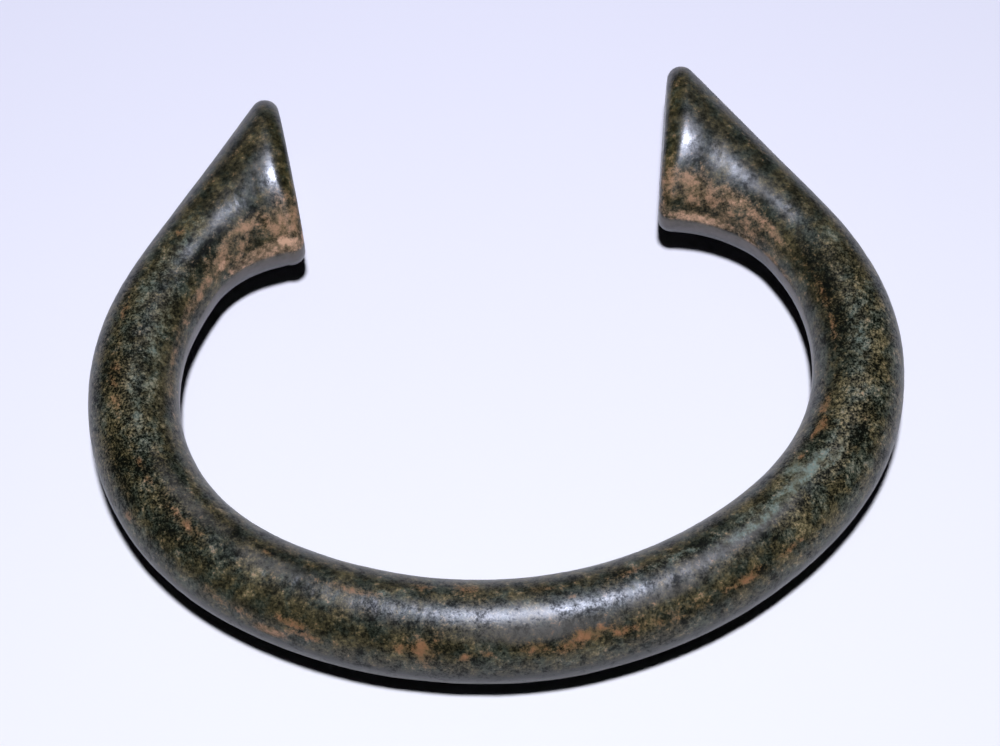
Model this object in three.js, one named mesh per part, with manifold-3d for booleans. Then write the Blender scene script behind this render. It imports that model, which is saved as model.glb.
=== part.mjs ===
// A bronze manilla: an open cast ring that lies on its side, with a round bar that is thickest at
// the bow and two arms that end in flared feet, each cut off by a flat face aslant to its arm.
// Millimetres, +X across the ring, +Y from the bow to the gap, +Z up from the surface it lies on.

import * as THREE from "three";
import { LoftGeometry } from "three/addons/geometries/LoftGeometry.js";
import { mergeVertices } from "three/addons/utils/BufferGeometryUtils.js";
import Module from "manifold-3d";

// Driving dimensions of the bar and its feet

const BOW_THICKNESS = 9.18;
const FOOT_HEIGHT = 11.8;
const RIM_RADIUS = 1.33;
const WORN_DEPTH = 0.16;

// A foot grows in height with this power of the share of its flare, and its crown keeps this much
// to the bar's own line, from 0 to 1, while its inner side flares away from it
const SWELL_POWER = 1.3;
const CROWN_HOLD = 0.4;

// Driving dimensions of each arm, which was bent by hand, so the two aren't quite alike.
// bowRadius and sideRadius are the middle line's radii at the bow and at the side.
// bowReach is the length of the shallow bow arc, from the middle of the bow, and turn is the
// angle in degrees that the whole arm turns through before it runs straight for straightLength
// to the tip of its foot. The foot widens inwards by flareRise on an arc of flareRadius, and its
// face slants back by faceSlant along the arm, from the outer tip to the inner corner.

const LEFT_ARM = {
  side: -1,
  bowRadius: 43.35,
  bowReach: 25.15,
  sideRadius: 20.95,
  turn: 125.2,
  sideThickness: 8.45,
  neckThickness: 8.4,
  straightLength: 23.85,
  flareRadius: 7.85,
  flareRise: 5.5,
  faceSlant: 15.2,
};
const RIGHT_ARM = {
  side: 1,
  bowRadius: 39.5,
  bowReach: 29.8,
  sideRadius: 20.5,
  turn: 124.65,
  sideThickness: 8.55,
  neckThickness: 8.1,
  straightLength: 23.75,
  flareRadius: 11.05,
  flareRise: 5.85,
  faceSlant: 14.45,
};

// Lengths over which one bend eases into the next
const BOW_TO_SIDE = 16;
const SIDE_TO_STRAIGHT = 12;

// Fineness of the mesh
const AROUND = 36;
const BAR_STATIONS = 34;
const FLARE_STATIONS = 11;
const RIM_STATIONS = 4;
const WALK_STEP = 0.1;

// Rises smoothly from 0 to 1 while x goes from -1/2 to 1/2
function ease(x) {
  return THREE.MathUtils.smoothstep(x, -0.5, 0.5);
}

// The plain measures that follow from an arm's own sizes, as distances along its middle line
function measureArm(arm) {
  const bowCurve = 1 / arm.bowRadius;
  const sideCurve = 1 / arm.sideRadius;
  const turn = THREE.MathUtils.degToRad(arm.turn);
  const straightFrom = (turn + (sideCurve - bowCurve) * arm.bowReach) / sideCurve;
  const tip = straightFrom + arm.straightLength;
  const corner = tip - arm.faceSlant;
  const flareTurn = Math.acos(1 - arm.flareRise / arm.flareRadius);
  const neck = corner - arm.flareRadius * Math.sin(flareTurn);
  return { bowCurve, sideCurve, straightFrom, tip, corner, flareTurn, neck };
}

// Walks an arm's middle line in plan and returns a function of the distance from the bow
function walkArm(arm, measures) {
  const { bowCurve, sideCurve, straightFrom, tip } = measures;
  const curvature = (s) =>
    bowCurve +
    (sideCurve - bowCurve) * ease((s - arm.bowReach) / BOW_TO_SIDE) -
    sideCurve * ease((s - straightFrom) / SIDE_TO_STRAIGHT);
  const steps = Math.ceil(tip / WALK_STEP);
  const step = tip / steps;
  const places = [new THREE.Vector3(0, 0, 0)];
  for (let i = 0; i < steps; i++) {
    const { x, y, z } = places[i];
    const heading = z + curvature((i + 0.5) * step) * step;
    const middle = (z + heading) / 2;
    places.push(new THREE.Vector3(x + step * Math.cos(middle), y + step * Math.sin(middle), heading));
  }
  return (s) => {
    const index = Math.min(Math.floor(s / step), steps - 1);
    return places[index].clone().lerp(places[index + 1], s / step - index);
  };
}

// A point in plan, offset to the outer side of the middle line by the given distance
function offsetOutwards(place, distance, side) {
  const x = place.x + distance * Math.sin(place.z);
  const y = place.y - distance * Math.cos(place.z);
  return new THREE.Vector2(side * x, y);
}

// The bar's thickness at a distance from the bow
function thicknessAt(arm, measures, s) {
  const side = (arm.bowReach + measures.straightFrom) / 2;
  const toSide = ease(s / side - 0.5);
  const toNeck = ease((s - side) / (measures.neck - side) - 0.5);
  return (
    BOW_THICKNESS +
    (arm.sideThickness - BOW_THICKNESS) * toSide +
    (arm.neckThickness - arm.sideThickness) * toNeck
  );
}

// The direction in plan of an arm's middle line, turned inwards by an angle, looking back to the bow
function lookBack(place, turnInwards, side) {
  const heading = place.z + turnInwards;
  return new THREE.Vector2(-side * Math.cos(heading), -Math.sin(heading));
}

// The rounding of a corner in plan between two sides: where it begins, and its points, for a share
// from 0 to 1 of the way from the first side to the second
function roundCorner(corner, first, second) {
  const halfAngle = first.angleTo(second) / 2;
  const setback = RIM_RADIUS / Math.tan(halfAngle);
  const bisector = first.clone().add(second).normalize();
  const centre = corner.clone().addScaledVector(bisector, RIM_RADIUS / Math.sin(halfAngle));
  const start = corner.clone().addScaledVector(first, setback);
  const sweep = Math.sign(second.cross(first)) * (Math.PI - 2 * halfAngle);
  return { setback, at: (share) => start.clone().rotateAround(centre, share * sweep) };
}

// The stations of one arm, from the middle of the bow to the edge of the foot's flat face: where
// the outer and inner sides lie in plan, half the height of the bar between them, and where its
// crown is, from 0 at the inner side to 1 at the outer side
function armStations(arm) {
  const measures = measureArm(arm);
  const walk = walkArm(arm, measures);
  const stations = [];
  for (let i = 0; i < BAR_STATIONS; i++) {
    const s = (i / BAR_STATIONS) * measures.neck;
    const half = thicknessAt(arm, measures, s) / 2;
    stations.push({
      outer: offsetOutwards(walk(s), half, arm.side),
      inner: offsetOutwards(walk(s), -half, arm.side),
      halfHeight: half,
      crown: 0.5,
    });
  }

  const half = arm.neckThickness / 2;
  const outerAt = (s) => offsetOutwards(walk(s), half, arm.side);
  const riseAt = (bend) => arm.flareRadius * (1 - Math.cos(bend));
  const innerAt = (bend) => {
    const s = measures.neck + arm.flareRadius * Math.sin(bend);
    return offsetOutwards(walk(s), -half - riseAt(bend), arm.side);
  };
  const crownAt = (bend) => 0.5 + CROWN_HOLD * (0.5 - half / (2 * half + riseAt(bend)));
  const tip = outerAt(measures.tip);
  const corner = innerAt(measures.flareTurn);
  const toCorner = corner.clone().sub(tip).normalize();
  const toTip = toCorner.clone().negate();
  const tipRim = roundCorner(tip, lookBack(walk(measures.tip), 0, arm.side), toCorner);
  const cornerBack = lookBack(walk(measures.corner), measures.flareTurn, arm.side);
  const cornerRim = roundCorner(corner, cornerBack, toTip);
  for (let i = 0; i < FLARE_STATIONS; i++) {
    const share = i / FLARE_STATIONS;
    const bend = share * (measures.flareTurn - cornerRim.setback / arm.flareRadius);
    stations.push({
      outer: outerAt(THREE.MathUtils.lerp(measures.neck, measures.tip - tipRim.setback, share)),
      inner: innerAt(bend),
      halfHeight: THREE.MathUtils.lerp(half, FOOT_HEIGHT / 2, share ** SWELL_POWER),
      crown: crownAt(bend),
    });
  }
  for (let i = 0; i <= RIM_STATIONS; i++) {
    const share = i / RIM_STATIONS;
    stations.push({
      outer: tipRim.at(share),
      inner: cornerRim.at(share),
      halfHeight: FOOT_HEIGHT / 2 - RIM_RADIUS * (1 - Math.cos((share * Math.PI) / 2)),
      crown: crownAt(measures.flareTurn),
    });
  }
  return stations;
}

// The oval section of a station, as points from the outer side over the crown to the inner side
// and back underneath, at the height where the station's part of the ring lies
function sectionPoints({ outer, inner, halfHeight, crown }, heightAt) {
  const height = heightAt((outer.y + inner.y) / 2);
  return Array.from({ length: AROUND }, (_, i) => {
    const angle = (i / AROUND) * 2 * Math.PI;
    const across = (1 + Math.cos(angle)) / 2 + (crown - 0.5) * Math.sin(angle) ** 2;
    const plan = inner.clone().lerp(outer, across);
    return new THREE.Vector3(plan.x, plan.y, height + halfHeight * Math.sin(angle));
  });
}

// The middle of a foot's face in plan
function faceMiddle(stations) {
  const { outer, inner } = stations.at(-1);
  return outer.clone().add(inner).divideScalar(2);
}

// A closed geometry as a solid, with its shared points merged
function solidOf(wasm, geometry) {
  const loose = geometry.toNonIndexed();
  loose.deleteAttribute("normal");
  loose.deleteAttribute("uv");
  const merged = mergeVertices(loose, 1e-4);
  return new wasm.Manifold(
    new wasm.Mesh({
      numProp: 3,
      vertProperties: merged.attributes.position.array,
      triVerts: new Uint32Array(merged.index.array),
    }),
  );
}

// The whole ring as one closed skin, lofted from foot to foot. Its middle line rises a little from
// the bow to the feet, so that all three rest on the ground, which wears a small flat on each.
function castManilla(wasm) {
  const left = armStations(LEFT_ARM);
  const right = armStations(RIGHT_ARM);
  const restY = (faceMiddle(left).y + faceMiddle(right).y) / 2;
  const heightAt = (y) =>
    THREE.MathUtils.mapLinear(y, 0, restY, BOW_THICKNESS / 2, FOOT_HEIGHT / 2) - WORN_DEPTH;
  const stations = [...right.reverse(), ...left.slice(1)];
  const sections = stations.map((station) => sectionPoints(station, heightAt));
  const skin = new LoftGeometry(sections, { capStart: true, capEnd: true });
  skin.computeBoundingBox();
  const size = skin.boundingBox.getSize(new THREE.Vector3());
  const middle = skin.boundingBox.getCenter(new THREE.Vector3());
  const ground = new THREE.BoxGeometry(2 * size.x, 2 * size.y, FOOT_HEIGHT);
  ground.translate(middle.x, middle.y, -FOOT_HEIGHT / 2);
  const cast = solidOf(wasm, skin).subtract(solidOf(wasm, ground)).getMesh();
  const geometry = new THREE.BufferGeometry();
  geometry.setAttribute("position", new THREE.BufferAttribute(cast.vertProperties, 3));
  geometry.setIndex(new THREE.BufferAttribute(cast.triVerts, 1));
  return geometry;
}

const wasm = await Module();
wasm.setup();

const geometry = castManilla(wasm);
geometry.computeBoundingBox();
const middle = geometry.boundingBox.getCenter(new THREE.Vector3());
geometry.translate(-middle.x, -middle.y, 0);
geometry.computeVertexNormals();

const bronze = new THREE.MeshStandardMaterial({ color: 0x4f4a3c, roughness: 0.5, metalness: 0.6 });
const manilla = new THREE.Mesh(geometry, bronze);
manilla.name = "manilla";

const part = new THREE.Group();
part.add(manilla);

export default part;
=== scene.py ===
"""A cast bronze manilla with an old patina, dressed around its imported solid.

The ring is lofted by Geometry Nodes from stations along its two arms, with the casting's dents,
pits and grain as relief. Its patina is procedural, and patches of earth, rust and verdigris sit
at places along the ring. Lengths are in metres, +X across the ring, +Y to the gap, +Z up.
"""

import math

import bpy
import numpy as np
from bpy.props import FloatProperty, FloatVectorProperty, IntProperty, PointerProperty
from mathutils import Euler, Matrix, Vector


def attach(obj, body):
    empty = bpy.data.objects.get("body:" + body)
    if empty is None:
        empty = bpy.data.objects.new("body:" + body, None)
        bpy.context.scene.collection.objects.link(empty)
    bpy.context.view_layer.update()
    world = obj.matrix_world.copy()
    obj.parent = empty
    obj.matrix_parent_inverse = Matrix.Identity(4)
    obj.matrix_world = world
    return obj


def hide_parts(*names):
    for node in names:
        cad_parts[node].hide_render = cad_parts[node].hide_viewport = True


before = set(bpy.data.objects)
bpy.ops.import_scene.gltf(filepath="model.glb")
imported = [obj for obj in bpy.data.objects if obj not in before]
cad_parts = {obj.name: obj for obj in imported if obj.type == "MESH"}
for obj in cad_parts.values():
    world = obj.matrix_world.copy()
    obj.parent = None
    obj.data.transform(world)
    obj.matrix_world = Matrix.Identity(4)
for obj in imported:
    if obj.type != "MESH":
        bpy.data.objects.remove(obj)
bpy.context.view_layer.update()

bl_info = {
    "name": "Bronze Manilla",
    "version": (1, 0, 0),
    "blender": (4, 5, 0),
    "location": "3D View > Sidebar > Manilla",
    "description": "Casts a patinated bronze manilla and lays it out on a pale floor",
    "category": "Object",
}

MM = 0.001
FULL_TURN = 2 * math.pi

# Sizes

ARM_FIELDS = {
    "bow_radius": ("Bow radius", "Radius of the middle line along the bow"),
    "bow_reach": ("Bow reach", "Length of the shallow bow arc, from the middle of the bow"),
    "side_radius": ("Side radius", "Radius of the middle line round the side"),
    "side_thickness": ("Side thickness", "Thickness of the bar at the side"),
    "neck_thickness": ("Neck thickness", "Thickness of the bar where the foot begins to flare"),
    "straight_length": ("Straight length", "Length of the straight run, to the tip of the foot"),
    "flare_radius": ("Flare radius", "Radius of the concave arc on the foot's inner side"),
    "flare_rise": ("Flare rise", "How much the foot widens inwards"),
    "face_slant": ("Face slant", "How far the face slants back along the arm"),
}


def length(title, description, millimetres):
    """A length that a user may change, given in millimetres and kept in metres."""
    return FloatProperty(
        name=title, description=description, default=millimetres * MM, precision=5, unit="LENGTH"
    )


def angle(title, description, degrees):
    """An angle that a user may change, given in degrees and kept in radians."""
    return FloatProperty(
        name=title, description=description, default=math.radians(degrees), subtype="ANGLE"
    )


def number(title, description, value):
    """A plain number that a user may change."""
    return FloatProperty(name=title, description=description, default=value, precision=3)


def colour(title, description, red, green, blue):
    """A colour that a user may change, in linear light."""
    return FloatVectorProperty(
        name=title,
        description=description,
        default=(red, green, blue),
        size=3,
        min=0,
        max=1,
        subtype="COLOR",
    )


def arm_sizes(class_name, turn, **millimetres):
    """A PropertyGroup with the sizes of one arm."""
    fields = {name: length(*words, millimetres[name]) for name, words in ARM_FIELDS.items()}
    fields["turn"] = angle("Turn", "Angle that the arm turns through before it runs straight", turn)
    return type(class_name, (bpy.types.PropertyGroup,), {"__annotations__": fields})


LeftArmSizes = arm_sizes(
    "LeftArmSizes",
    turn=125.2,
    bow_radius=43.35,
    bow_reach=25.15,
    side_radius=20.95,
    side_thickness=8.45,
    neck_thickness=8.4,
    straight_length=23.85,
    flare_radius=7.85,
    flare_rise=5.5,
    face_slant=15.2,
)
RightArmSizes = arm_sizes(
    "RightArmSizes",
    turn=124.65,
    bow_radius=39.5,
    bow_reach=29.8,
    side_radius=20.5,
    side_thickness=8.55,
    neck_thickness=8.1,
    straight_length=23.75,
    flare_radius=11.05,
    flare_rise=5.85,
    face_slant=14.45,
)


class RingSizes(bpy.types.PropertyGroup):
    """Sizes that the whole ring shares."""

    left: PointerProperty(type=LeftArmSizes, name="Left arm", description="Sizes of the left arm")
    right: PointerProperty(type=RightArmSizes, name="Right arm", description="Sizes of the right arm")
    bow_thickness: length("Bow thickness", "Thickness of the bar in the middle of the bow", 9.18)
    foot_height: length("Foot height", "Height of a foot at its face", 11.8)
    rim_radius: length("Rim radius", "Rounding of the rim between a foot's side and its face", 1.33)
    worn_depth: length("Worn depth", "Depth of the flats worn under the bow and the feet", 0.16)
    swell_power: number("Swell power", "How late a foot grows in height along its flare", 1.6)
    lip_easing: number("Lip easing", "How much a foot's growth eases off before the rim", 0.07)
    lip_from: number("Lip from", "How far along the flare that easing begins, from 0 to 1", 0.85)
    crown_hold: number("Crown hold", "How much a foot's crown keeps to the bar's own line", 0.4)
    bow_to_side: length("Bow to side", "Length over which the bow's bend eases into the side's", 16)
    side_to_straight: length("Side to straight", "Length over which the side's bend runs out", 12)


class ReliefSizes(bpy.types.PropertyGroup):
    """Sizes of the casting's relief, all of it below the smooth form."""

    swell_depth: length("Swell depth", "Depth of the broad hand-made unevenness", 0.06)
    swell_length: length("Swell length", "Length of the broad hand-made unevenness", 14)
    dent_depth: length("Dent depth", "Depth of the shallow dents", 0.025)
    dent_length: length("Dent length", "Width of a shallow dent", 3.4)
    pit_depth: length("Pit depth", "Depth of the corrosion pits", 0.02)
    pit_length: length("Pit spacing", "Spacing of the corrosion pits", 1.3)
    grain_depth: length("Grain depth", "Depth of the sandy casting grain", 0.008)
    grain_length: length("Grain length", "Width of one grain", 0.5)
    seed: IntProperty(name="Seed", description="Seed of all the relief", default=7, min=0)


class PatinaColours(bpy.types.PropertyGroup):
    """Colours of the patina and of what has settled on it, some of them partly painted sheen,
    reflection or shade.
    """

    # Also painted over the underside as its shade
    hollow: colour("Hollow", "Near-black patina in the hollows", 0.003, 0.0035, 0.0025)
    brown: colour("Brown", "Dark brown patina, the commonest tone", 0.024, 0.021, 0.009)
    tan: colour("Tan", "Tan of the brown patina's open grain", 0.084, 0.069, 0.031)
    sand: colour("Sand", "Pale specks in the brown patina", 0.27, 0.225, 0.125)
    moss: colour("Moss", "Dark green patina between the brown", 0.014, 0.018, 0.011)
    sage: colour("Sage", "Grey-green of the green patina's open grain", 0.052, 0.060, 0.041)
    ash: colour("Ash", "Pale specks in the green patina", 0.20, 0.205, 0.16)
    earth: colour("Earth", "Pinkish tan earth in the lee of the feet", 0.33, 0.19, 0.115)
    crumb: colour("Crumb", "Pale earth along the edge of the worn side", 0.62, 0.375, 0.255)
    rust: colour("Rust", "Orange-brown stains", 0.24, 0.115, 0.055)
    verdigris: colour("Verdigris", "Blue-green copper salts", 0.155, 0.21, 0.19)
    # Partly a painted sheen around the highlights
    film: colour("Film", "Smooth grey film that hides the grain", 0.084, 0.080, 0.077)
    # Real wear, and partly a painted reflection of the floor on the smooth worn side
    worn: colour("Worn", "Smooth worn side of the opening", 0.115, 0.10, 0.092)


class StageSettings(bpy.types.PropertyGroup):
    """Where the camera and the lamps stand."""

    elevation: angle("Elevation", "Height of the camera above the floor, as an angle", 60)
    ring_turn: angle("Ring turn", "How far the ring is turned on the floor, seen from above", 4.72)
    distance: length("Distance", "Distance of the camera from the point that it looks at", 230)
    aim_x: length("Aim X", "The point on the floor that the camera looks at, across the ring", 0.47)
    aim_y: length("Aim Y", "The point on the floor that the camera looks at, along the ring", 2.1)
    lens: number("Lens", "Focal length in millimetres on a 36 mm sensor", 87.8)
    key_distance: length("Key distance", "Distance of the key lamp from the ring", 380)
    key_width: length("Key width", "Width of the round key lamp", 38)
    sheen_distance: length("Sheen distance", "Distance of the sheen lamp from the ring", 600)
    sheen_width: length("Sheen width", "Width of the round sheen lamp", 60)
    key_colour: colour("Key colour", "Colour of the key lamp", 0.93, 0.95, 1.0)
    sheen_colour: colour("Sheen colour", "Colour of the sheen lamp", 0.74, 0.79, 1.0)
    key_tilt: angle("Key tilt", "How far the key lamp leans from overhead towards the camera", 9.5)
    key_power: number("Key power", "Power of the key lamp in watts, which lights all but gloss", 1.74)
    sheen_tilt: angle("Sheen tilt", "How far the sheen lamp leans towards the camera", -8.5)
    sheen_power: number("Sheen power", "Power of the sheen lamp in watts, which lights gloss", 3.5)
    sheen_aside: angle("Sheen aside", "How far the sheen lamp leans to the camera's right", 2.7)
    floor_width: length("Floor width", "Width of the floor", 3000)
    paper_near: colour("Paper near", "Colour of the paper in front", 0.80, 0.80, 0.86)
    # Painted shade: the paper behind is darker and bluer than in front
    paper_far_shaded: colour("Paper far", "Colour of the paper behind", 0.748, 0.742, 0.89)
    room_light: colour("Room light", "Faint light of the room", 0.0012, 0.0012, 0.0014)


# The form of the ring


def ease(x):
    """Rises smoothly from 0 to 1 while x goes from -1/2 to 1/2."""
    t = np.clip(x + 0.5, 0, 1)
    return t * t * (3 - 2 * t)


class Arm:
    """One arm in plan, by distances along its middle line from the middle of the bow."""

    # Length of a step along the middle line
    WALK_STEP = 0.1 * MM
    # How much later a rim drops than a plain quarter round, as a power
    RIM_FULLNESS = 1.3
    # How late along the flare its inner side closes in on the rounded corner, as a power
    CLOSING_POWER = 6

    def __init__(self, ring, sizes, side):
        self.ring, self.sizes, self.side = ring, sizes, side
        bow_curve, side_curve = 1 / sizes.bow_radius, 1 / sizes.side_radius
        turned = sizes.turn + (side_curve - bow_curve) * sizes.bow_reach
        self.straight_from = turned / side_curve
        self.tip = self.straight_from + sizes.straight_length
        self.flare_turn = math.acos(1 - sizes.flare_rise / sizes.flare_radius)
        corner = self.tip - sizes.face_slant
        self.neck = corner - sizes.flare_radius * math.sin(self.flare_turn)
        self.walked = np.linspace(0, self.tip, math.ceil(self.tip / self.WALK_STEP) + 1)
        middles = (self.walked[1:] + self.walked[:-1]) / 2
        steps = np.diff(self.walked)
        curvature = (
            bow_curve
            + (side_curve - bow_curve) * ease((middles - sizes.bow_reach) / ring.bow_to_side)
            - side_curve * ease((middles - self.straight_from) / ring.side_to_straight)
        )
        self.headings = np.concatenate([[0], np.cumsum(curvature * steps)])
        heading = (self.headings[1:] + self.headings[:-1]) / 2
        self.xs = np.concatenate([[0], np.cumsum(np.cos(heading) * steps)])
        self.ys = np.concatenate([[0], np.cumsum(np.sin(heading) * steps)])

    def heading(self, s):
        """The direction of the middle line at a distance from the bow."""
        return np.interp(s, self.walked, self.headings)

    def offset(self, s, outwards):
        """The point in plan at a distance along the middle line and a distance outwards from it."""
        heading = self.heading(s)
        x = np.interp(s, self.walked, self.xs) + outwards * np.sin(heading)
        y = np.interp(s, self.walked, self.ys) - outwards * np.cos(heading)
        return np.stack([self.side * x, y], axis=-1)

    def look_back(self, s, turn_inwards):
        """The direction back to the bow along the middle line, turned inwards by an angle."""
        heading = self.heading(s) + turn_inwards
        return np.array([-self.side * math.cos(heading), -math.sin(heading)])

    def thickness(self, s):
        """The bar's thickness at a distance from the bow."""
        sizes, ring = self.sizes, self.ring
        side = (sizes.bow_reach + self.straight_from) / 2
        to_side = ease(s / side - 0.5)
        to_neck = ease((s - side) / (self.neck - side) - 0.5)
        return (
            ring.bow_thickness
            + (sizes.side_thickness - ring.bow_thickness) * to_side
            + (sizes.neck_thickness - sizes.side_thickness) * to_neck
        )

    def stations(self, rows):
        """Outer side, inner side, half height, crown and distance along the arm of every station,
        from the middle of the bow to the middle of the foot's face, as many as rows says."""
        s = np.linspace(0, self.neck, rows.bar, endpoint=False)
        half = self.thickness(s) / 2
        bar = (self.offset(s, half), self.offset(s, -half), half, np.full_like(s, 0.5), s)

        sizes, ring = self.sizes, self.ring
        half = sizes.neck_thickness / 2

        def rise_at(bend):
            return sizes.flare_radius * (1 - np.cos(bend))

        def inner_at(bend):
            return self.offset(self.neck + sizes.flare_radius * np.sin(bend), -half - rise_at(bend))

        def crown_at(bend):
            return 0.5 + ring.crown_hold * (0.5 - half / (2 * half + rise_at(bend)))

        tip, corner = self.offset(self.tip, half), inner_at(self.flare_turn)
        to_corner = (corner - tip) / np.linalg.norm(corner - tip)
        tip_back = self.look_back(self.tip, 0)
        corner_back = self.look_back(self.tip - sizes.face_slant, self.flare_turn)
        tip_setback, tip_rim = round_corner(tip, tip_back, to_corner, ring.rim_radius)
        corner_setback, corner_rim = round_corner(corner, corner_back, -to_corner, ring.rim_radius)
        share = np.linspace(0, 1, rows.flare, endpoint=False)
        edge = self.tip - tip_setback
        s = self.neck + (edge - self.neck) * share
        last_bend = self.flare_turn - corner_setback / sizes.flare_radius
        bend = share * last_bend
        on_lip = np.maximum(share - ring.lip_from, 0) / (1 - ring.lip_from)
        growth = (share**ring.swell_power - ring.lip_easing * on_lip**2) / (1 - ring.lip_easing)
        swell = half + (ring.foot_height / 2 - half) * growth
        gap = corner_rim(0) - inner_at(last_bend)
        inner = inner_at(bend) + gap * share[:, None] ** self.CLOSING_POWER
        flare = (self.offset(s, half), inner, swell, crown_at(bend), s)

        share = np.linspace(0, 1, rows.rim, endpoint=False)
        reach = ring.rim_radius * np.sin(share * math.pi / 2)
        drop = ring.rim_radius * (1 - np.cos(share * math.pi / 2)) ** self.RIM_FULLNESS
        crown = np.full_like(share, crown_at(last_bend))
        rim = (tip_rim(share), corner_rim(share), ring.foot_height / 2 - drop, crown, edge + reach)

        edge_tip, edge_corner = tip_rim(1), corner_rim(1)
        middle = (edge_tip + edge_corner) / 2
        shrink = np.linspace(1, 0, rows.face)[:, None]
        face = (
            middle + (edge_tip - middle) * shrink,
            middle + (edge_corner - middle) * shrink,
            (ring.foot_height / 2 - ring.rim_radius) * shrink[:, 0],
            np.full(rows.face, crown_at(last_bend)),
            np.full(rows.face, edge + ring.rim_radius),
        )
        return [np.concatenate(parts) for parts in zip(bar, flare, rim, face)]


def round_corner(corner, first, second, radius):
    """The rounding of a corner in plan between two sides: how far from the corner it begins, and
    its points for shares from 0 to 1 of the way from the first side to the second."""
    half_angle = math.acos(first @ second) / 2
    setback = radius / math.tan(half_angle)
    bisector = (first + second) / np.linalg.norm(first + second)
    centre = corner + bisector * radius / math.sin(half_angle)
    start = corner + first * setback - centre
    across = corner + second * setback - centre
    across -= start * (across @ start) / radius**2
    across *= radius / np.linalg.norm(across)

    def points(share):
        sweep = np.asarray(share)[..., None] * (math.pi - 2 * half_angle)
        return centre + start * np.cos(sweep) + across * np.sin(sweep)

    return setback, points


class Rows:
    """How many stations an arm has along its bar, flare, rim and face."""

    bar = 236
    flare = 62
    rim = 10
    face = 18


# Points around a section of the ring
AROUND = 146

# Stations that advance by less than this, as a share of the most, lie on a foot's flat face
NO_ADVANCE = 1e-4


def ring_stations(ring):
    """Every station from the left face to the right: plan points of the outer and inner side, half
    height, crown, height of the middle, signed distance from the bow and direction along the bar,
    which is upwards on the flat faces."""
    left = Arm(ring, ring.left, -1).stations(Rows)
    right = Arm(ring, ring.right, 1).stations(Rows)
    left[4] = -left[4]
    outer, inner, half, crown, along = (
        np.concatenate([a[::-1], b[1:]]) for a, b in zip(left, right)
    )
    lengthways = np.gradient((outer + inner) / 2, axis=0)
    lengthways = np.column_stack([lengthways / np.abs(lengthways).max(), np.zeros(len(half))])
    lengthways[np.abs(lengthways).max(axis=1) < NO_ADVANCE] = (0, 0, 1)
    rest_y = (left[0][-1, 1] + right[0][-1, 1]) / 2
    middle_y = (outer[:, 1] + inner[:, 1]) / 2
    bow_half, foot_half = ring.bow_thickness / 2, ring.foot_height / 2
    seat = bow_half + (foot_half - bow_half) * middle_y / rest_y - ring.worn_depth
    centre = (outer.min(axis=0) + outer.max(axis=0)) / 2
    return outer - centre, inner - centre, half, crown, seat, along, lengthways


# Trees of nodes


class Tree:
    """Adds nodes to a tree and joins them, one call for each node."""

    def __init__(self, tree):
        self.tree = tree

    def add(self, kind, inputs=None, **settings):
        """A new node, its settings and its inputs, each a plain value or another node's socket."""
        node = self.tree.nodes.new(kind)
        for name, value in settings.items():
            setattr(node, name, value)
        for key, value in (inputs or {}).items():
            if isinstance(value, bpy.types.NodeSocket):
                self.tree.links.new(value, node.inputs[key])
            else:
                node.inputs[key].default_value = value
        return node

    def math(self, operation, *values):
        """The result of a math node."""
        node = self.add("ShaderNodeMath", dict(enumerate(values)), operation=operation)
        return node.outputs[0]

    def vector(self, operation, *values):
        """The result of a vector math node."""
        node = self.add("ShaderNodeVectorMath", dict(enumerate(values)), operation=operation)
        return node.outputs[0]

    def scaled(self, vector, factor):
        """A vector times a number."""
        node = self.add("ShaderNodeVectorMath", {0: vector, "Scale": factor}, operation="SCALE")
        return node.outputs[0]

    def noise(self, where, scale, seed, detail, roughness=0.5):
        """Noise from 0 to 1 that differs with the seed."""
        inputs = {
            "Vector": where,
            "W": seed,
            "Scale": scale,
            "Detail": detail,
            "Roughness": roughness,
        }
        return self.add("ShaderNodeTexNoise", inputs, noise_dimensions="4D").outputs[0]

    def band(self, value, low, high, to_low=0.0, to_high=1.0):
        """A value carried smoothly from low..high to to_low..to_high and held there outside."""
        inputs = {
            "Value": value,
            "From Min": low,
            "From Max": high,
            "To Min": to_low,
            "To Max": to_high,
        }
        return self.add("ShaderNodeMapRange", inputs, interpolation_type="SMOOTHSTEP").outputs[0]


# Layers of the relief: name, the noise at which a layer begins and the noise at which it is
# deepest, how fine the noise's detail is, and how far its seed is from the relief's own
RELIEF_LAYERS = (
    ("Swell", 0.3, 0.7, 0.0, 0.0),
    ("Dent", 0.25, 0.75, 1.0, 11.0),
    ("Pit", 0.56, 0.72, 2.0, 23.0),
    ("Grain", 0.3, 0.7, 2.0, 37.0),
)

# Points closer than this are one point
SAME_POINT = 1e-6


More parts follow.
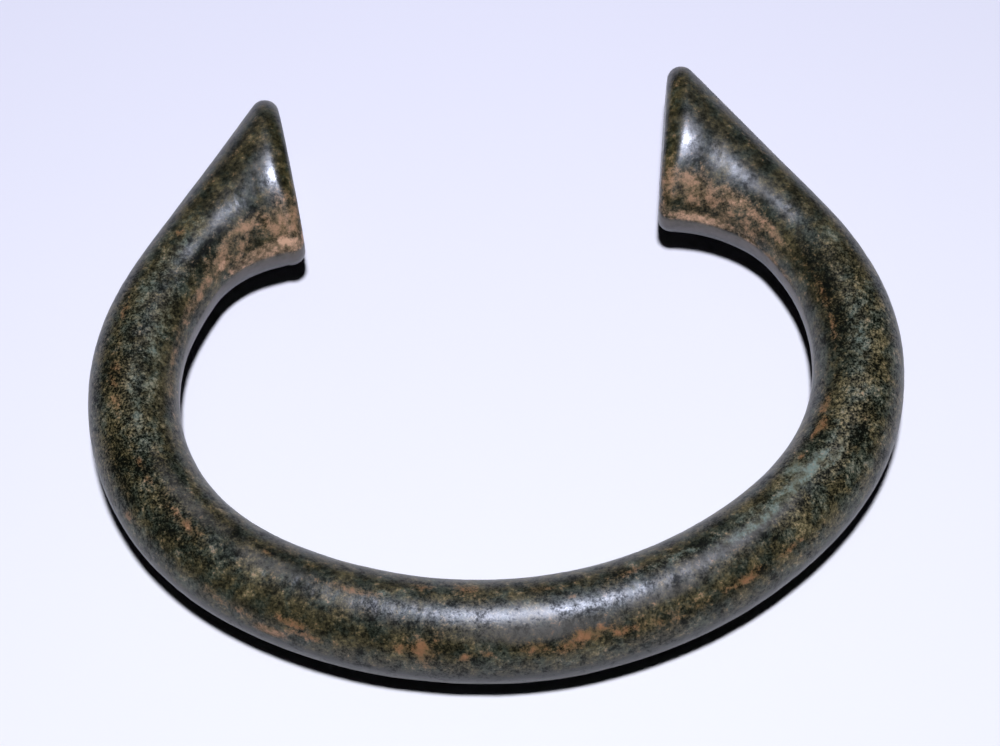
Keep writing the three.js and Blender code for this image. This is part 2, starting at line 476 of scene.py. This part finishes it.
def relief_tree():
    """The Geometry Nodes tree that lofts the ring from its stations and carves its relief."""
    group = bpy.data.node_groups.new("Manilla casting", "GeometryNodeTree")
    face = group.interface
    face.new_socket("Stations", in_out="INPUT", socket_type="NodeSocketGeometry")
    face.new_socket("Around", in_out="INPUT", socket_type="NodeSocketInt")
    for name, *_ in RELIEF_LAYERS:
        face.new_socket(name + " Depth", in_out="INPUT", socket_type="NodeSocketFloat")
        face.new_socket(name + " Length", in_out="INPUT", socket_type="NodeSocketFloat")
    face.new_socket("Seed", in_out="INPUT", socket_type="NodeSocketFloat")
    face.new_socket("Patina", in_out="INPUT", socket_type="NodeSocketMaterial")
    face.new_socket("Ring", in_out="OUTPUT", socket_type="NodeSocketGeometry")
    t = Tree(group)
    given = t.add("NodeGroupInput").outputs

    rows = t.add("GeometryNodeAttributeDomainSize", {0: given["Stations"]}).outputs["Point Count"]
    columns = t.math("ADD", given["Around"], 1.0)
    inputs = {"Vertices X": rows, "Vertices Y": columns}
    grid = t.add("GeometryNodeMeshGrid", inputs).outputs["Mesh"]
    index = t.add("GeometryNodeInputIndex").outputs[0]
    row = t.math("FLOOR", t.math("DIVIDE", t.math("ADD", index, 0.5), columns))
    column = t.math("SUBTRACT", index, t.math("MULTIPLY", row, columns))

    def station(name, kind):
        """What the stations say under a name, for a vertex's own row."""
        value = t.add("GeometryNodeInputNamedAttribute", {"Name": name}, data_type=kind).outputs[0]
        inputs = {"Geometry": given["Stations"], "Value": value, "Index": row}
        return t.add("GeometryNodeSampleIndex", inputs, data_type=kind).outputs[0]

    share = t.math("DIVIDE", column, given["Around"])
    around = t.math("MULTIPLY_ADD", share, FULL_TURN, -FULL_TURN / 4)
    outer, inner = station("outer", "FLOAT_VECTOR"), station("inner", "FLOAT_VECTOR")
    sine = t.math("SINE", around)
    across = t.math("MULTIPLY_ADD", t.math("COSINE", around), 0.5, 0.5)
    off_middle = t.math("SUBTRACT", station("crown", "FLOAT"), 0.5)
    across = t.math("MULTIPLY_ADD", off_middle, t.math("MULTIPLY", sine, sine), across)
    plan = t.vector("ADD", inner, t.scaled(t.vector("SUBTRACT", outer, inner), across))
    rise = t.math("MULTIPLY", station("half_height", "FLOAT"), sine)
    height = t.math("ADD", station("seat", "FLOAT"), rise)
    up = t.add("ShaderNodeCombineXYZ", {"Z": height}).outputs[0]
    inputs = {"Geometry": grid, "Position": t.vector("ADD", plan, up)}
    skin = t.add("GeometryNodeSetPosition", inputs).outputs[0]
    for name, kind, value in (
        ("along", "FLOAT", station("along", "FLOAT")),
        ("around", "FLOAT", around),
        ("lengthways", "FLOAT_VECTOR", station("lengthways", "FLOAT_VECTOR")),
    ):
        inputs = {"Geometry": skin, "Name": name, "Value": value}
        store = t.add("GeometryNodeStoreNamedAttribute", inputs, data_type=kind, domain="POINT")
        skin = store.outputs[0]
    inputs = {"Geometry": skin, "Distance": SAME_POINT}
    closed = t.add("GeometryNodeMergeByDistance", inputs).outputs[0]

    where = t.add("GeometryNodeInputPosition").outputs[0]
    normal = t.add("GeometryNodeInputNormal").outputs[0]
    depth = 0.0
    for name, low, high, detail, offset in RELIEF_LAYERS:
        scale = t.math("DIVIDE", 1.0, given[name + " Length"])
        pattern = t.noise(where, scale, t.math("ADD", given["Seed"], offset), detail)
        layer = t.math("MULTIPLY", given[name + " Depth"], t.band(pattern, low, high))
        depth = t.math("ADD", depth, layer)
    sunk = t.scaled(normal, t.math("MULTIPLY", depth, -1.0))
    carved = t.add("GeometryNodeSetPosition", {"Geometry": closed, "Offset": sunk}).outputs[0]

    x, y, z = t.add("ShaderNodeSeparateXYZ", {0: where}).outputs[:3]
    inputs = {"X": x, "Y": y, "Z": t.math("MAXIMUM", z, 0.0)}
    grounded = t.add("ShaderNodeCombineXYZ", inputs).outputs[0]
    inputs = {"Geometry": carved, "Position": grounded}
    resting = t.add("GeometryNodeSetPosition", inputs).outputs[0]
    smooth = t.add("GeometryNodeSetShadeSmooth", {"Geometry": resting}).outputs[0]
    real = t.add("GeometryNodeRealizeInstances", {"Geometry": smooth}).outputs[0]
    inputs = {"Geometry": real, "Material": given["Patina"]}
    dressed = t.add("GeometryNodeSetMaterial", inputs).outputs[0]
    t.add("NodeGroupOutput", {"Ring": dressed})
    return group


def cast_ring(ring, relief, patina):
    """The ring's finished mesh, lofted and carved by the Geometry Nodes tree."""
    outer, inner, half, crown, seat, along, lengthways = ring_stations(ring)
    stations = bpy.data.meshes.new("stations")
    stations.vertices.add(len(half))

    def flat(plan):
        return np.column_stack([plan, np.zeros(len(plan))])

    for name, kind, values in (
        ("outer", "FLOAT_VECTOR", flat(outer)),
        ("inner", "FLOAT_VECTOR", flat(inner)),
        ("half_height", "FLOAT", half),
        ("crown", "FLOAT", crown),
        ("seat", "FLOAT", seat),
        ("along", "FLOAT", along),
        ("lengthways", "FLOAT_VECTOR", lengthways),
    ):
        key = "vector" if kind == "FLOAT_VECTOR" else "value"
        attribute = stations.attributes.new(name, kind, "POINT")
        attribute.data.foreach_set(key, np.asarray(values, dtype=np.float32).ravel())
    pattern = bpy.data.objects.new("stations", stations)
    bpy.context.scene.collection.objects.link(pattern)
    group = relief_tree()
    modifier = pattern.modifiers.new("Casting", "NODES")
    modifier.node_group = group
    values = {"Around": AROUND, "Seed": float(relief.seed), "Patina": patina}
    for name, *_ in RELIEF_LAYERS:
        values[name + " Depth"] = getattr(relief, name.lower() + "_depth")
        values[name + " Length"] = getattr(relief, name.lower() + "_length")
    for item in group.interface.items_tree:
        if item.name in values:
            modifier[item.identifier] = values[item.name]
    graph = bpy.context.evaluated_depsgraph_get()
    mesh = bpy.data.meshes.new_from_object(pattern.evaluated_get(graph), depsgraph=graph)
    pattern.modifiers.remove(modifier)
    bpy.data.objects.remove(pattern)
    mesh.name = "patinated_ring"
    return mesh


# Patches of the patina

# Each patch is its place in millimetres from the middle of the bow (the left arm is negative) and
# in degrees around the bar (0 the outer side, 90 the top, 180 the inner side), its length in
# millimetres, its breadth in degrees and its strength. Earth and crumb are two tones of earth, rust
# and verdigris are stains, the film patches are a smooth grey film that hides the grain and partly a
# painted sheen around the highlights, dull has less gloss, polish has more, open is where the grain
# is coarse and open, and dark is where the tone is darker.
PATCHES = {
    "earth": (
        (-76, 163, 11, 13, 1.0),
        (-69, 162, 7, 11, 0.9),
        (-64.5, 148, 6, 11, 0.9),
        (-72, 131, 9, 12, 0.85),
        (-79, 145, 5, 34, 0.8),
        (-68, 142, 18, 30, 0.52),
        (-58, 147, 11, 14, 0.6),
        (-49, 150, 12, 14, 0.4),
        (-20.5, 19, 2.4, 12, 0.95),
        (74, 165, 14, 12, 1.0),
        (64.5, 168, 4.5, 9, 0.9),
        (77, 140, 8, 22, 0.85),
        (69, 132, 9, 18, 0.75),
        (62, 136, 8, 16, 0.65),
        (70, 148, 22, 32, 0.5),
        (58, 168, 8, 10, 0.5),
        (56, 118, 6, 12, 0.25),
    ),
    "rust": (
        (-7.8, 40, 1.7, 26, 1.0),
        (-9.5, 41, 1.4, 9, 0.9),
        (-4.5, 37, 1.3, 10, 0.75),
        (-2.8, 40, 1.0, 8, 0.6),
        (-18.6, 41, 2.4, 9, 0.85),
        (-16.8, 30, 3.4, 8, 0.6),
        (-24, 29, 3.0, 10, 0.45),
        (-35.2, 31, 1.4, 13, 0.6),
        (-31, 82, 4.0, 11, 0.55),
        (-37, 82, 2.6, 8, 0.5),
        (-14.8, 97, 4.2, 9, 0.8),
        (-23, 107, 1.1, 6, 0.9),
        (-8.6, 120, 1.6, 13, 0.6),
        (-4.6, 120, 1.9, 13, 0.7),
        (1.0, 46, 1.9, 11, 0.8),
        (3.8, 42, 2.0, 12, 0.75),
        (5.4, 52, 3.4, 13, 1.0),
        (8.0, 45, 2.2, 9, 0.75),
        (12, 44, 5.0, 20, 0.35),
        (19, 45, 3.4, 10, 0.75),
        (24, 45, 2.2, 8, 0.6),
        (34.5, 121, 2.2, 11, 0.9),
        (37.4, 128, 2.0, 10, 0.8),
        (30.6, 118, 0.9, 6, 0.8),
        (9.8, 110, 3.0, 9, 0.5),
        (4.5, 97, 1.0, 6, 0.7),
        (2.0, 113, 2.0, 8, 0.6),
        (-63, 76, 1.6, 10, 0.6),
        (-53.5, 67, 1.8, 9, 0.5),
        (-46, 72, 6.0, 16, 0.35),
        (50, 128, 8.0, 10, 0.45),
    ),
    "verdigris": (
        (28.5, 98, 8.0, 14, 1.0),
        (23, 92, 8.0, 12, 0.7),
        (32, 84, 4.0, 11, 0.7),
        (29.3, 116, 2.6, 22, 0.7),
        (23, 108, 4.0, 12, 0.45),
        (-55, 82, 10, 18, 0.4),
        (-50, 118, 16, 26, 0.42),
        (-44, 96, 9.0, 18, 0.42),
        (45, 95, 11, 17, 0.42),
        (56, 76, 7.0, 13, 0.35),
        (15, 106, 10, 12, 0.4),
        (-12, 100, 1.6, 11, 0.5),
        (-61, 92, 9, 16, 0.4),
    ),
    "crumb": (
        (-75, 164, 13, 13, 1.6),
        (-69, 164, 5, 7, 0.9),
        (74, 166, 12, 9, 1.0),
        (64.5, 168, 4, 8, 0.7),
        (-64.5, 148, 3, 8, 0.5),
        (69, 132, 5, 12, 0.4),
    ),
    "film": (
        (2, 62, 13, 24, 0.8),
        (12, 70, 10, 17, 0.6),
        (21, 88, 12, 20, 0.8),
        (29, 100, 6, 16, 0.6),
        (-22, 96, 9, 22, 0.6),
        (-32, 104, 12, 24, 0.6),
        (-77, 100, 6, 20, 0.5),
        (-66, 104, 12, 12, 0.3),
        (66, 106, 14, 14, 0.5),
        (78, 104, 5, 20, 0.5),
    ),
    "dull": (
        (-64.5, 104, 10, 60, 0.85),
        (-57, 104, 12, 60, 0.4),
        (-76, 108, 3.6, 60, 0.2),
        (-68, 22, 24, 26, 0.2),
        (-42, 90, 20, 60, 0.3),
        (65, 106, 10, 50, 0.85),
        (58, 104, 9, 50, 0.5),
        (62, 22, 30, 26, 0.2),
    ),
    "polish": (
        (-79.4, 111, 2.8, 20, 0.05),
        (-71.5, 107, 5, 24, 0.07),
        (79.3, 111, 2.6, 18, 0.03),
        (73, 107, 5, 24, 0.04),
        (26, 92, 14, 34, 0.05),
    ),
    "open": (
        (-40, 80, 26, 90, 1.0),
        (-50, 80, 16, 90, 0.8),
        (0, 60, 44, 120, 0.35),
        (36, 80, 26, 90, 1.0),
        (46, 80, 18, 90, 0.9),
    ),
    "dark": (
        (-63, 116, 13, 9, 1.0),
        (-40, 74, 20, 80, 0.36),
        (-12, 68, 6.0, 24, 0.35),
        (-38, 52, 8.0, 22, 0.8),
        (-32, 62, 10, 20, 0.6),
        (-24, 112, 6.0, 13, 0.8),
        (14, 106, 12, 12, 0.65),
        (50, 122, 14, 26, 0.75),
        (20.5, 45, 1.0, 8, 1.0),
        (36, 74, 7.0, 16, 0.7),
        (-75, 68, 8.0, 9, 0.6),
        (-68, 122, 6.0, 6, 0.5),
        (-13, 50, 4.0, 12, 0.5),
        (76, 118, 6.0, 7, 0.5),
    ),
}

# How fast a patch fades from its middle
PATCH_FADE = 0.7

# The crust of earth ends this far around the bar, above the smooth worn side of the opening, whose
# pale grey is partly a painted reflection of the floor
WORN_FROM = 171
WORN_EDGE = 4

# The underside is smooth and painted near-black as shade. It begins this far above the middle of the
# outer side, and this far below the middle of the inner side
UNDER_SHADE_OUTER = 10
UNDER_SHADE_INNER = 8
UNDER_SHADE_EDGE = 16

# Further underneath, from this far below the middle on both sides, it is dull as well
DULL_FROM = 32
DULL_EDGE = 16
DULL_MOST = 0.9

# The flat faces are neither worn nor painted with the underside's shade. They lie within this many
# millimetres of the arms' ends
FACE_EDGE = 0.005


def paint_patches(mesh):
    """Stores how much of each kind of patch there is at every vertex of the ring, whether the vertex
    is worn, and whether it lies underneath, where it is painted near-black as shade."""
    count = len(mesh.vertices)
    along, around = np.empty(count, np.float32), np.empty(count, np.float32)
    mesh.attributes["along"].data.foreach_get("value", along)
    mesh.attributes["around"].data.foreach_get("value", around)
    along, around = along / MM, np.degrees(around)
    painted = {}
    for kind, patches in PATCHES.items():
        painted[kind] = np.zeros(count)
        for place, degrees, patch_length, breadth, strength in patches:
            lengthways = (along - place) / (patch_length / 2)
            sideways = (around - degrees) / (breadth / 2)
            amount = strength * np.exp(-PATCH_FADE * (lengthways**2 + sideways**2))
            painted[kind] = np.maximum(painted[kind], amount)
    painted["worn"] = ease((around - WORN_FROM) / WORN_EDGE)
    turned_under = np.maximum(UNDER_SHADE_OUTER - around, around - 180 - UNDER_SHADE_INNER)
    painted["under"] = ease(turned_under / UNDER_SHADE_EDGE)
    below_middle = np.maximum(-around, around - 180)
    dull = DULL_MOST * ease((below_middle - DULL_FROM) / DULL_EDGE)
    painted["dull"] = np.maximum(painted["dull"], dull)
    ends = np.where(along < 0, along.min(), along.max())
    off_face = np.abs(ends - along) > FACE_EDGE
    for kind in ("worn", "under", "dull"):
        painted[kind] = painted[kind] * off_face
    for kind, amount in painted.items():
        attribute = mesh.attributes.new(kind, "FLOAT", "POINT")
        attribute.data.foreach_set("value", amount.astype(np.float32))


# The patina

# Its noises: features in a metre, seed, detail and roughness
PATINA_NOISES = {
    "blotch": (380.0, 1.0, 4.0, 0.6),
    "grain": (2400.0, 2.0, 4.0, 0.75),
    "sand": (5200.0, 3.0, 2.0, 0.7),
    "stain": (950.0, 4.0, 4.0, 0.65),
    "hue": (520.0, 5.0, 4.0, 0.7),
}

# The tone runs from 0 in the hollows to 1 in the palest specks: its middle, and what open grain
# and a dark patch add to it
MIDDLE_TONE = 0.44
OPEN_TONE = 0.03
DARK_TONE = -0.34

# How strongly each noise moves the tone, and how much more where the grain is open
TONE_GAINS = {
    "blotch": (1.0, 0.0),
    "stain": (1.25, 0.0),
    "grain": (1.2, 1.5),
    "sand": (0.3, 2.1),
}

# The tones of the four colours of each patina, from hollow to specks, and where its hue changes
# from brown to green
TONE_STOPS = (0.04, 0.38, 0.64, 1.0)
HUE_EDGE = (0.44, 0.60)

# How ragged the stain noise makes a film, which is partly a painted sheen, how strong the film is
# where it begins and where it is full, and the most that it hides
FILM_RAGGED = 0.8
FILM_EDGE = (0.1, 0.9)
FILM_MOST = 0.85

# What has settled on the patina: how ragged its edge is and the most that it hides, and how strong
# all of them are where they begin and where they are full
SETTLED = {
    "verdigris": (0.8, 0.85),
    "rust": (1.3, 0.92),
    "earth": (0.9, 0.96),
    "crumb": (0.8, 0.9),
}
SETTLED_EDGE = (0.14, 0.85)

# Two noises mottle it about a middle tone. From its hollows to its full colour it has three stops,
# each a tone and the share of its own colour there
SETTLED_GAINS = {"grain": 0.7, "stain": 1.9}
SETTLED_MIDDLE = 0.53
SETTLED_STOPS = ((0.20, 0.08), (0.45, 0.2), (0.72, 1.0))

# The stain noise between which the worn side shows less and fully, and how much it shows there
WORN_NOISE = (0.3, 0.65)
WORN_SHOWN = (0.6, 1.0)

# The gloss in the hollows, what open grain adds to it, the most gloss, and the tones between which
# it goes from one to the other
HOLLOW_GLOSS = 0.2
OPEN_GLOSS = -0.17
MOST_GLOSS = 0.5
GLOSS_TONES = (0.12, 0.46)

# What a polished patch adds to the gloss for its strength
POLISH_GLOSS = 2.0

# The least and the most roughness, and the blotch noise between which it goes from one to the other
ROUGHNESS = (0.29, 0.35)
ROUGHNESS_NOISE = (0.35, 0.65)

# What full earth adds to the roughness, and the strengths between which it does
EARTH_ROUGHNESS = 0.28
EARTH_EDGE = (0.1, 0.6)

REFRACTION = 1.5

# How much a highlight is drawn out across the bar, from 0 to 1
DRAWN_ACROSS = 0.62

# The grain's bumps, which are too fine for the mesh
GRAIN_BUMP = 0.02 * MM
GRAIN_BUMP_STRENGTH = 0.5


def blend(first, second, share):
    """A colour between two others."""
    return tuple(a + (b - a) * share for a, b in zip(first, second))


def patina_material(colours):
    """Old bronze: a mottled brown and grey-green patina with near-black hollows and a sandy grain,
    a film that is partly a painted sheen, earth, rust and verdigris on it, a smooth worn side whose
    pale grey is partly a painted reflection of the floor, and an underside painted near-black as
    shade."""
    material = bpy.data.materials.new("patinated_bronze")
    material.use_nodes = True
    material.node_tree.nodes.clear()
    t = Tree(material.node_tree)
    where = t.add("ShaderNodeTexCoord").outputs["Object"]
    noises = {name: t.noise(where, *settings) for name, settings in PATINA_NOISES.items()}
    patches = {
        kind: t.add("ShaderNodeAttribute", attribute_name=kind).outputs["Fac"]
        for kind in (*PATCHES, "worn", "under")
    }

    def mixed(factor, first, second):
        """Two colours mixed by a factor."""
        node = t.add("ShaderNodeMix", {"Factor": factor}, data_type="RGBA")
        sockets = [socket for socket in node.inputs if socket.type == "RGBA"]
        for socket, value in zip(sockets, (first, second)):
            if isinstance(value, bpy.types.NodeSocket):
                t.tree.links.new(value, socket)
            else:
                socket.default_value = (*value, 1)
        return next(socket for socket in node.outputs if socket.type == "RGBA")

    def about(name, gain, base):
        """A noise's departure from its middle times a gain, on top of a base."""
        return t.math("MULTIPLY_ADD", t.math("SUBTRACT", noises[name], 0.5), gain, base)

    def ramp(value, stops):
        """A colour for a value, from stops of a position and a colour."""
        node = t.add("ShaderNodeValToRGB", {"Fac": value})
        elements = node.color_ramp.elements
        while len(elements) < len(stops):
            elements.new(1.0)
        for element, (position, tint) in zip(elements, stops):
            element.position = position
            element.color = (*tint, 1)
        return node.outputs[0]

    tone = t.math("MULTIPLY_ADD", patches["open"], OPEN_TONE, MIDDLE_TONE)
    for name, (closed, opened) in TONE_GAINS.items():
        tone = about(name, t.math("MULTIPLY_ADD", patches["open"], opened, closed), tone)
    tone = t.math("MULTIPLY_ADD", patches["dark"], DARK_TONE, tone)
    tints = (colours.hollow, colours.brown, colours.tan, colours.sand)
    brown = ramp(tone, list(zip(TONE_STOPS, tints)))
    tints = (colours.hollow, colours.moss, colours.sage, colours.ash)
    green = ramp(tone, list(zip(TONE_STOPS, tints)))
    surface = mixed(t.band(noises["hue"], *HUE_EDGE), brown, green)
    # The film is a grey film on the patina and partly a painted sheen around the highlights
    film = about("stain", FILM_RAGGED, patches["film"])
    film = t.band(film, *FILM_EDGE, 0.0, FILM_MOST)
    surface = mixed(film, surface, tuple(colours.film))

    open_skin = t.math("SUBTRACT", 1.0, patches["worn"])
    for kind, (ragged, most) in SETTLED.items():
        pure = tuple(getattr(colours, kind))
        mottle = SETTLED_MIDDLE
        for name, gain in SETTLED_GAINS.items():
            mottle = about(name, gain, mottle)
        bases = (colours.hollow, colours.tan, pure)
        stops = [
            (position, blend(base, pure, share))
            for (position, share), base in zip(SETTLED_STOPS, bases)
        ]
        edge = patches[kind]
        for name in ("sand", "grain", "stain"):
            edge = about(name, ragged, edge)
        amount = t.math("MULTIPLY", t.band(edge, *SETTLED_EDGE, 0.0, most), open_skin)
        surface = mixed(amount, surface, ramp(mottle, stops))
    # The worn side's pale grey is real wear and partly a painted reflection of the floor
    shown = t.band(noises["stain"], *WORN_NOISE, *WORN_SHOWN)
    worn = t.math("MULTIPLY", patches["worn"], shown)
    surface = mixed(worn, surface, tuple(colours.worn))
    # Painted shade: the underside takes the near-black of the hollows
    surface = mixed(patches["under"], surface, tuple(colours.hollow))

    in_hollows = t.math("MULTIPLY_ADD", patches["open"], OPEN_GLOSS, HOLLOW_GLOSS)
    gloss = t.band(tone, *GLOSS_TONES, in_hollows, MOST_GLOSS)
    gloss = t.math("MAXIMUM", gloss, t.math("MULTIPLY", patches["worn"], MOST_GLOSS))
    gloss = t.math("MULTIPLY_ADD", patches["polish"], POLISH_GLOSS, gloss)
    gloss = t.math("MULTIPLY", gloss, t.math("SUBTRACT", 1.0, patches["dull"]))
    matt = t.band(patches["earth"], *EARTH_EDGE, 0.0, EARTH_ROUGHNESS)
    matt = t.math("MULTIPLY", t.math("SUBTRACT", matt, patches["polish"]), open_skin)
    roughness = t.band(noises["blotch"], *ROUGHNESS_NOISE, *ROUGHNESS)
    roughness = t.math("ADD", roughness, matt)

    normal = t.add("ShaderNodeNewGeometry").outputs["Normal"]
    lengthways = t.add("ShaderNodeAttribute", attribute_name="lengthways").outputs["Vector"]
    inputs = {
        "Strength": GRAIN_BUMP_STRENGTH,
        "Distance": GRAIN_BUMP,
        "Height": noises["grain"],
    }
    bumps = t.add("ShaderNodeBump", inputs).outputs[0]
    shader = t.add(
        "ShaderNodeBsdfPrincipled",
        {
            "Base Color": surface,
            "Roughness": roughness,
            "IOR": REFRACTION,
            "Specular IOR Level": gloss,
            "Anisotropic": DRAWN_ACROSS,
            "Tangent": t.vector("CROSS_PRODUCT", normal, lengthways),
            "Normal": bumps,
        },
    )
    t.add("ShaderNodeOutputMaterial", {"Surface": shader.outputs[0]})
    return material


# Stage


# The paper's colour goes from near to far between these places, in metres from the middle: a painted
# shade that darkens the paper behind the ring
PAPER_SHADE_FADE = (-0.04, 0.06)

# The camera's sensor in millimetres, and the nearest that it sees
SENSOR_WIDTH = 36
NEAREST_SEEN = 10 * MM


def paper_material(near, far):
    """Matt pale paper with painted shade that makes it a little darker behind the ring."""
    material = bpy.data.materials.new("pale_paper")
    material.use_nodes = True
    material.node_tree.nodes.clear()
    t = Tree(material.node_tree)
    where = t.add("ShaderNodeTexCoord").outputs["Object"]
    place = t.add("ShaderNodeSeparateXYZ", {0: where})
    back = t.band(place.outputs["Y"], *PAPER_SHADE_FADE)
    ramp = t.add("ShaderNodeValToRGB", {"Fac": back})
    ramp.color_ramp.elements[0].color = (*near, 1)
    ramp.color_ramp.elements[1].color = (*far, 1)
    shader = t.add("ShaderNodeBsdfDiffuse", {"Color": ramp.outputs[0]})
    t.add("ShaderNodeOutputMaterial", {"Surface": shader.outputs[0]})
    return material


def lay_floor(stage):
    """A plain pale floor at the height that the ring rests on."""
    half = stage.floor_width / 2
    corners = [(-half, -half, 0), (half, -half, 0), (half, half, 0), (-half, half, 0)]
    mesh = bpy.data.meshes.new("floor")
    mesh.from_pydata(corners, [], [(0, 1, 2, 3)])
    mesh.materials.append(paper_material(stage.paper_near, stage.paper_far_shaded))
    floor = bpy.data.objects.new("floor", mesh)
    bpy.context.scene.collection.objects.link(floor)


def aim(stage):
    """The point on the floor that the camera looks at."""
    return Vector((stage.aim_x, stage.aim_y, 0))


def stand(stage, tilt, aside=0.0):
    """The direction from the aim, tilted from overhead towards the camera's side and its right."""
    direction = Vector((math.tan(aside), -math.sin(tilt), math.cos(tilt))).normalized()
    return Euler((0, 0, -stage.ring_turn)).to_matrix() @ direction


def place_camera(stage):
    """The camera, at the photograph's viewing angle."""
    camera = bpy.data.objects.new("camera", bpy.data.cameras.new("camera"))
    camera.data.lens = stage.lens
    camera.data.sensor_width = SENSOR_WIDTH
    camera.data.clip_start = NEAREST_SEEN
    direction = stand(stage, math.pi / 2 - stage.elevation)
    camera.location = aim(stage) + direction * stage.distance
    camera.rotation_euler = (math.pi / 2 - stage.elevation, 0, -stage.ring_turn)
    bpy.context.scene.collection.objects.link(camera)
    bpy.context.scene.camera = camera


def hang_lamp(stage, name, direction, distance, width, power, tint):
    """A small round lamp near overhead, in a direction and at a distance from the aim."""
    lamp = bpy.data.objects.new(name, bpy.data.lights.new(name, "AREA"))
    lamp.data.shape = "DISK"
    lamp.data.size = width
    lamp.data.energy = power
    lamp.data.color = tint
    lamp.location = aim(stage) + direction * distance
    lamp.rotation_euler = direction.to_track_quat("Z", "Y").to_euler()
    bpy.context.scene.collection.objects.link(lamp)
    return lamp


def light_room(stage):
    """A key lamp for form and shadow, a sheen lamp for gloss, and a faint light of the room."""
    key = hang_lamp(
        stage,
        "key_lamp",
        stand(stage, stage.key_tilt),
        stage.key_distance,
        stage.key_width,
        stage.key_power,
        stage.key_colour,
    )
    key.visible_glossy = False
    sheen = hang_lamp(
        stage,
        "sheen_lamp",
        stand(stage, stage.sheen_tilt, stage.sheen_aside),
        stage.sheen_distance,
        stage.sheen_width,
        stage.sheen_power,
        stage.sheen_colour,
    )
    sheen.visible_diffuse = False
    world = bpy.data.worlds.new("room")
    world.use_nodes = True
    world.node_tree.nodes["Background"].inputs["Color"].default_value = (*stage.room_light, 1)
    bpy.context.scene.world = world
    bpy.context.scene.view_settings.view_transform = "Standard"


# Operators and panel


class MANILLA_OT_cast_ring(bpy.types.Operator):
    """Cast the manilla's ring with its relief and patina"""

    bl_idname = "manilla.cast_ring"
    bl_label = "Cast Ring"

    def execute(self, context):
        scene = context.scene
        patina = patina_material(scene.manilla_patina)
        mesh = cast_ring(scene.manilla_ring, scene.manilla_relief, patina)
        paint_patches(mesh)
        piece = bpy.data.objects.new("patinated_ring", mesh)
        scene.collection.objects.link(piece)
        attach(piece, "root")
        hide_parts("manilla")
        return {"FINISHED"}


class MANILLA_OT_lay_stage(bpy.types.Operator):
    """Lay the floor, hang the lamps and place the camera"""

    bl_idname = "manilla.lay_stage"
    bl_label = "Lay Stage"

    def execute(self, context):
        stage = context.scene.manilla_stage
        place_camera(stage)
        lay_floor(stage)
        light_room(stage)
        return {"FINISHED"}


class VIEW3D_PT_manilla(bpy.types.Panel):
    """The manilla's sizes and operators"""

    bl_label = "Bronze Manilla"
    bl_space_type = "VIEW_3D"
    bl_region_type = "UI"
    bl_category = "Manilla"

    def draw(self, context):
        column = self.layout.column()
        for operator in OPERATORS:
            column.operator(operator.bl_idname)
        for holder in GROUPS:
            settings = getattr(context.scene, holder)
            box = self.layout.box()
            for name in settings.bl_rna.properties.keys():
                if name not in ("rna_type", "name"):
                    box.prop(settings, name)


OPERATORS = (MANILLA_OT_lay_stage, MANILLA_OT_cast_ring)
GROUPS = {
    "manilla_ring": RingSizes,
    "manilla_relief": ReliefSizes,
    "manilla_patina": PatinaColours,
    "manilla_stage": StageSettings,
}
CLASSES = (LeftArmSizes, RightArmSizes, *GROUPS.values(), *OPERATORS, VIEW3D_PT_manilla)


def register():
    for cls in CLASSES:
        bpy.utils.register_class(cls)
    for holder, group in GROUPS.items():
        setattr(bpy.types.Scene, holder, PointerProperty(type=group))


def unregister():
    for holder in GROUPS:
        delattr(bpy.types.Scene, holder)
    for cls in reversed(CLASSES):
        bpy.utils.unregister_class(cls)


def main():
    register()
    bpy.ops.manilla.lay_stage()
    bpy.ops.manilla.cast_ring()


if __name__ == "__main__":
    main()
